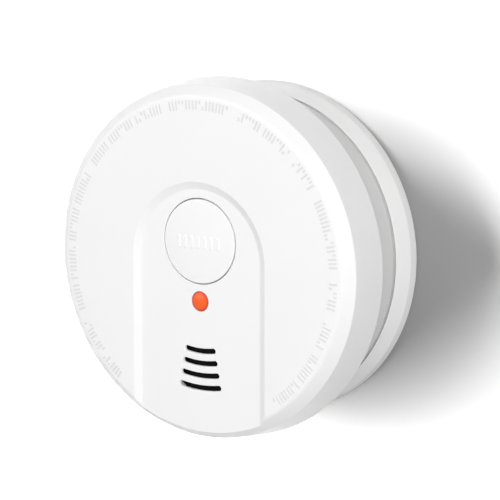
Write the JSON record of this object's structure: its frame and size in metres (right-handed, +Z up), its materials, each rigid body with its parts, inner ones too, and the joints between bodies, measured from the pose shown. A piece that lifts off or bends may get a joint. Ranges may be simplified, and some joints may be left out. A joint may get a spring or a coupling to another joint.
{
  "type": "smoke alarm",
  "caption": "Round white battery smoke alarm with a bevelled cover, a sunk arch panel with test button, indicator and sounder slots, on a twist-off mounting base.",
  "frame": {"origin": "centre of the mounting base's rear face, on the wall", "axes": "-Y out of the wall and out of the alarm's face, +X to the right as seen from the room, +Z up"},
  "size_m": [0.12, 0.044, 0.12],
  "materials": {
    "white_plastic": "fine satin moulded ABS",
    "black_plastic": "matt black moulded",
    "red_lens": "clear moulded orange red",
    "board_laminate": "green solder resist",
    "clear_optic": "clear epoxy",
    "dark_optic": "dark filter epoxy",
    "horn_plastic": "natural moulded",
    "spring_steel": "bright plated",
    "disc_brass": "rolled sheet",
    "disc_ceramic": "silvered ceramic",
    "battery_sleeve": "plain printed steel sleeve",
    "can_aluminium": "plain can",
    "coil_copper": "enamelled copper winding on a ferrite bobbin",
    "chip_ceramic": "matt chip parts"
  },
  "bodies": {
    "base": {"mounting_base": "white_plastic"},
    "alarm": {"rear_housing": "white_plastic", "inlet_ribs": "white_plastic", "crown_ring": "white_plastic", "front_cover": "white_plastic", "button_spring": "spring_steel", "switch_body": "black_plastic", "indicator_lens": "red_lens", "status_led": "red_lens", "circuit_board": "board_laminate", "chamber_base": "black_plastic", "chamber_cap": "black_plastic", "insect_screen": "spring_steel", "infrared_emitter": "clear_optic", "photodiode": "dark_optic", "horn_housing": "horn_plastic", "horn_cap": "horn_plastic", "piezo_disc": "disc_brass", "piezo_ceramic": "disc_ceramic", "horn_contacts": "spring_steel", "battery_case": "battery_sleeve", "battery_terminals": "spring_steel", "battery_contacts": "spring_steel", "microcontroller": "black_plastic", "electrolytic_capacitors": "can_aluminium", "step_up_coil": "coil_copper", "chip_parts": "chip_ceramic", "cover_screws": "spring_steel", "board_screws": "spring_steel"},
    "button": {"test_button": "white_plastic"},
    "plunger": {"switch_plunger": "black_plastic"}
  },
  "joints": [
    {"name": "twist_lock", "type": "hinge", "parent": "base", "child": "alarm", "pos_m": [0, 0, 0], "axis": [0, -1, 0], "range_deg": [0, 18]},
    {"name": "test_button_press", "type": "slide", "parent": "alarm", "child": "button", "axis": [0, 1, 0], "range_m": [0, 0.001], "stiffness_N_per_m": 600, "springref_m": -0.002, "deforming": ["button_spring"]},
    {"name": "switch_plunger_press", "type": "slide", "parent": "alarm", "child": "plunger", "axis": [0, 1, 0], "range_m": [0, 0.00025]}
  ],
  "couplings": [
    {"joint": "switch_plunger_press", "follows": "test_button_press", "ratio": 0.25}
  ]
}
